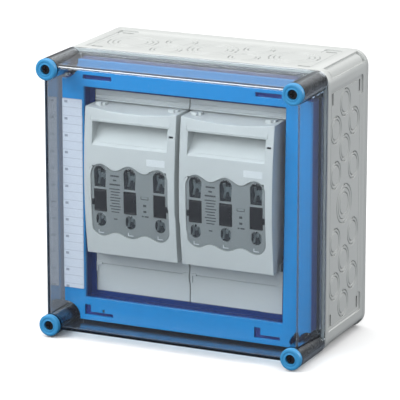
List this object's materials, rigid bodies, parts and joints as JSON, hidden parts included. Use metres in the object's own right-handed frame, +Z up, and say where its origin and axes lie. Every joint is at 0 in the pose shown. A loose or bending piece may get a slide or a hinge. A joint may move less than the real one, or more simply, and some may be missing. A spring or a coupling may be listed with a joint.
{
  "type": "dc combiner box",
  "caption": "Wall-mounted insulated combiner box with a clear lift-off lid, a cover frame and side-by-side fuse switch-disconnectors on a mounting plate.",
  "frame": {"origin": "centre of the flat back face, on the wall", "axes": "+X to the right seen from the front, the front with the lid faces -Y, +Y into the wall, +Z up"},
  "size_m": [0.3, 0.176, 0.3],
  "materials": {
    "enclosure_grey": "light grey moulded insulating plastic, fine satin texture",
    "lid_clear": "clear polycarbonate, glossy",
    "gasket_black": "black foamed seal",
    "fastener_black": "black moulded plastic, slightly glossy",
    "ring_blue": "mid-blue moulded plastic",
    "frame_blue": "bright blue moulded plastic, satin",
    "label_white": "white label strip with thin ruled lines",
    "plate_steel": "galvanised sheet steel",
    "switch_grey": "grey moulded plastic",
    "cover_grey": "light grey moulded plastic, satin",
    "handle_grey": "light grey moulded plastic, smooth satin",
    "window_grey": "mid-grey moulded plastic, smooth",
    "pane_clear": "clear plastic window",
    "contact_silver": "silver-plated copper",
    "fuse_ceramic": "off-white unglazed ceramic",
    "screw_steel": "zinc-plated steel"
  },
  "bodies": {
    "box": {"enclosure_base": "enclosure_grey", "corner_post_top_left": "fastener_black", "corner_post_top_right": "fastener_black", "corner_post_bottom_left": "fastener_black", "corner_post_bottom_right": "fastener_black", "lid_gasket": "gasket_black", "mounting_plate": "plate_steel", "plate_screw_top_left": "screw_steel", "plate_screw_top_right": "screw_steel", "plate_screw_bottom_left": "screw_steel", "plate_screw_bottom_right": "screw_steel", "cover_frame": "frame_blue", "label_strip": "label_white", "left_body": "switch_grey", "left_top_cover": "cover_grey", "left_bottom_cover": "cover_grey", "left_upper_contact_1": "contact_silver", "left_lower_contact_1": "contact_silver", "left_upper_contact_2": "contact_silver", "left_lower_contact_2": "contact_silver", "left_upper_contact_3": "contact_silver", "left_lower_contact_3": "contact_silver", "right_body": "switch_grey", "right_top_cover": "cover_grey", "right_bottom_cover": "cover_grey", "right_upper_contact_1": "contact_silver", "right_lower_contact_1": "contact_silver", "right_upper_contact_2": "contact_silver", "right_lower_contact_2": "contact_silver", "right_upper_contact_3": "contact_silver", "right_lower_contact_3": "contact_silver"},
    "lid": {"lid_shell": "lid_clear", "lid_ring_top_left": "ring_blue", "lid_ring_top_right": "ring_blue", "lid_ring_bottom_left": "ring_blue", "lid_ring_bottom_right": "ring_blue"},
    "fastener_top_left": {"lid_screw_top_left": "fastener_black"},
    "fastener_top_right": {"lid_screw_top_right": "fastener_black"},
    "fastener_bottom_left": {"lid_screw_bottom_left": "fastener_black"},
    "fastener_bottom_right": {"lid_screw_bottom_right": "fastener_black"},
    "left_handle_group": {"left_handle": "handle_grey", "left_window_plate": "window_grey", "left_window_pane": "pane_clear", "left_fuse_body_1": "fuse_ceramic", "left_fuse_blades_1": "contact_silver", "left_fuse_body_2": "fuse_ceramic", "left_fuse_blades_2": "contact_silver", "left_fuse_body_3": "fuse_ceramic", "left_fuse_blades_3": "contact_silver"},
    "right_handle_group": {"right_handle": "handle_grey", "right_window_plate": "window_grey", "right_window_pane": "pane_clear", "right_fuse_body_1": "fuse_ceramic", "right_fuse_blades_1": "contact_silver", "right_fuse_body_2": "fuse_ceramic", "right_fuse_blades_2": "contact_silver", "right_fuse_body_3": "fuse_ceramic", "right_fuse_blades_3": "contact_silver"}
  },
  "joints": [
    {"name": "lid_lift", "type": "slide", "parent": "box", "child": "lid", "axis": [0, -1, 0], "range_m": [0, 0.3]},
    {"name": "fastener_turn_top_left", "type": "hinge", "parent": "lid", "child": "fastener_top_left", "pos_m": [-0.1375, -0.17, 0.1375], "axis": [0, -1, 0], "range_deg": [0, 90]},
    {"name": "fastener_turn_top_right", "type": "hinge", "parent": "lid", "child": "fastener_top_right", "pos_m": [0.1375, -0.17, 0.1375], "axis": [0, -1, 0], "range_deg": [0, 90]},
    {"name": "fastener_turn_bottom_left", "type": "hinge", "parent": "lid", "child": "fastener_bottom_left", "pos_m": [-0.1375, -0.17, -0.1375], "axis": [0, -1, 0], "range_deg": [0, 90]},
    {"name": "fastener_turn_bottom_right", "type": "hinge", "parent": "lid", "child": "fastener_bottom_right", "pos_m": [0.1375, -0.17, -0.1375], "axis": [0, -1, 0], "range_deg": [0, 90]},
    {"name": "left_handle_swing", "type": "hinge", "parent": "box", "child": "left_handle_group", "pos_m": [-0.0545, -0.121, -0.058], "axis": [1, 0, 0], "range_deg": [0, 70]},
    {"name": "right_handle_swing", "type": "hinge", "parent": "box", "child": "right_handle_group", "pos_m": [0.0545, -0.121, -0.058], "axis": [1, 0, 0], "range_deg": [0, 70]}
  ],
  "couplings": [
    {"joint": "left_handle_swing", "follows": "lid_lift", "rad_per_m": 4.07},
    {"joint": "right_handle_swing", "follows": "lid_lift", "rad_per_m": 4.07}
  ]
}
